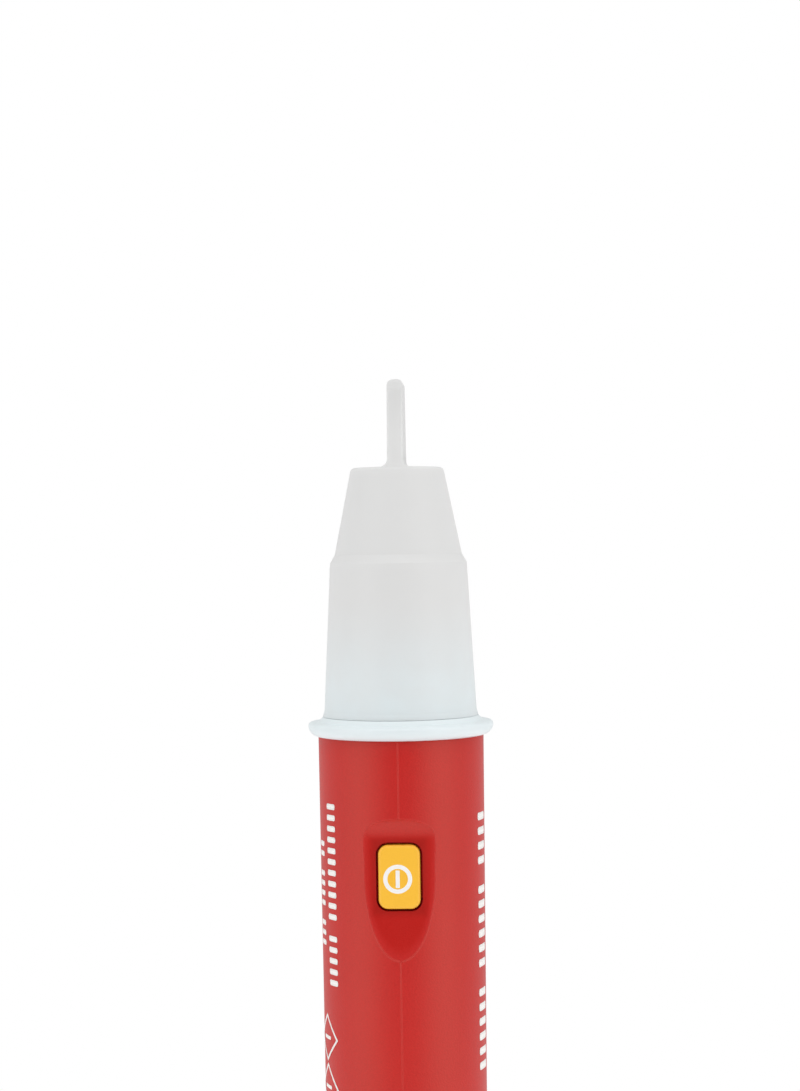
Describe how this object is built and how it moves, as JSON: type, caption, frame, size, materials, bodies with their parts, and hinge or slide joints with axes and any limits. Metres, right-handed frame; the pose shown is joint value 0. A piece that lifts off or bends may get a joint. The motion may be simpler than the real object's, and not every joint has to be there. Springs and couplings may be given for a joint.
{
  "type": "non contact voltage tester",
  "caption": "Pen voltage tester: translucent white nose with a thin blade tip, rounded finger guard, round red barrel with a yellow push button in a thumb recess, end cap and pocket clip.",
  "frame": {"origin": "centre of the end cap's flat end face, on the barrel's axis", "axes": "+Z along the pen towards the blade tip, -Y towards the push button, +Y towards the pocket clip"},
  "size_m": [0.0234, 0.0257, 0.155],
  "materials": {
    "red_shell": "satin moulded ABS, red",
    "nose_plastic": "translucent white, satin",
    "ring_plastic": "white, smooth",
    "button_plastic": "yellow orange, soft satin",
    "frame_plastic": "black moulded plastic",
    "board_laminate": "green solder mask",
    "black_epoxy": "black epoxy and phenolic",
    "ceramic_body": "tan sintered ceramic",
    "led_epoxy": "clear red tinted epoxy",
    "plated_metal": "bright plated metal",
    "contact_metal": "nickel plated spring strip",
    "copper_strip": "thin copper alloy strip",
    "switch_case": "dark switch case",
    "dome_steel": "stainless snap dome",
    "cell_steel": "nickel plated can",
    "cell_print": "plain dark sleeve",
    "seal_nylon": "insulating washer",
    "seal_rubber": "black seal ring"
  },
  "bodies": {
    "barrel": {"barrel": "red_shell", "guard_ring": "ring_plastic", "nose": "nose_plastic", "circuit_board": "board_laminate", "board_screws": "contact_metal", "detector_chip": "black_epoxy", "chip_legs": "plated_metal", "chip_resistors": "black_epoxy", "chip_capacitors": "ceramic_body", "transistors": "black_epoxy", "indicator_led": "led_epoxy", "led_leads": "plated_metal", "sounder": "black_epoxy", "sounder_pins": "plated_metal", "sensor_strip": "copper_strip", "switch_body": "switch_case", "switch_dome": "dome_steel", "switch_legs": "plated_metal", "rear_cell": "cell_steel", "front_cell": "cell_steel", "cell_sleeves": "cell_print", "cell_seals": "seal_nylon", "cell_buttons": "plated_metal", "inner_frame": "frame_plastic", "front_contact": "contact_metal", "ground_strip": "contact_metal"},
    "button": {"power_button": "button_plastic"},
    "plunger": {"switch_plunger": "switch_case"},
    "cap": {"end_cap": "red_shell", "cap_seal": "seal_rubber", "cap_spring": "plated_metal", "cap_contact": "contact_metal"},
    "clip": {"pocket_clip": "red_shell"}
  },
  "joints": [
    {"name": "cap_pull", "type": "slide", "parent": "barrel", "child": "cap", "axis": [0, 0, -1], "range_m": [0, 0.045], "deforming": ["cap_spring"]},
    {"name": "clip_flex", "type": "hinge", "parent": "cap", "child": "clip", "pos_m": [0, 0.0123, 0.0119], "axis": [-1, 0, 0], "range_deg": [0, 5], "stiffness_Nm_per_rad": 0.6},
    {"name": "button_press", "type": "slide", "parent": "barrel", "child": "button", "axis": [0, 1, 0], "range_m": [0, 0.0005], "stiffness_N_per_m": 2000, "springref_m": -0.0003},
    {"name": "plunger_press", "type": "slide", "parent": "barrel", "child": "plunger", "axis": [0, 1, 0], "range_m": [0, 0.0005], "deforming": ["switch_dome"]}
  ],
  "couplings": [
    {"joint": "plunger_press", "follows": "button_press", "ratio": 1}
  ]
}
